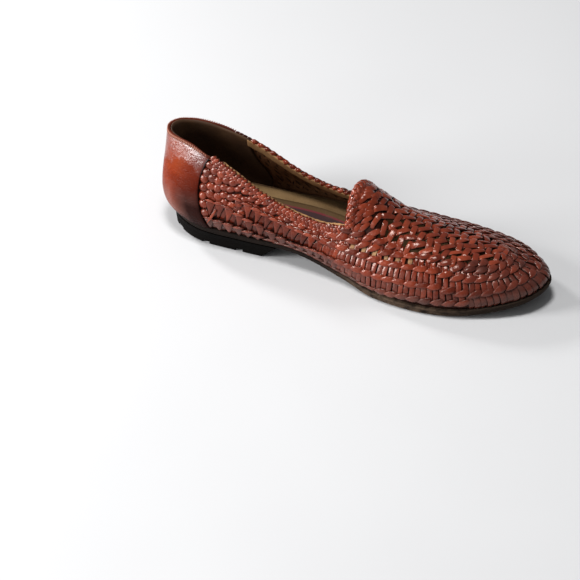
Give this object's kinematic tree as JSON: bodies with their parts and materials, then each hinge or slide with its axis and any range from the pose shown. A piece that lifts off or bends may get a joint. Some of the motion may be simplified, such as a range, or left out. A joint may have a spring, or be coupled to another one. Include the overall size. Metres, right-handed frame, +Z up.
{
  "type": "woven loafer",
  "caption": "Left slip-on loafer with a twined leather-strip upper, smooth heel counter, raised throat lip, flat rubber sole with toe spring, and a low lugged heel.",
  "frame": {"origin": "middle of the shoe's bounding box at floor height", "axes": "+X towards the toe, +Y towards the wearer's left (the outer side of the foot), +Z up"},
  "size_m": [0.2612, 0.09, 0.0657],
  "materials": {
    "woven_leather": "polished red-brown strips, glossy, dark in the crossings",
    "counter_leather": "polished smooth leather, creased, darker towards the seam",
    "lining_leather": "undyed tan, matte",
    "sole_rubber": "dark brown, scuffed edge",
    "heel_rubber": "black, satin",
    "insole_leather": "brown edge, matte",
    "sock_leather": "beige, worn, matte",
    "ribbon": "woven ribbon with plain stripes, no lettering"
  },
  "bodies": {
    "root": {"upper": "woven_leather", "counter": "counter_leather", "topline_tape": "lining_leather", "outsole": "sole_rubber", "heel_block": "heel_rubber", "insole": "insole_leather", "sock": "sock_leather", "sock_inlay": "ribbon"}
  },
  "joints": []
}
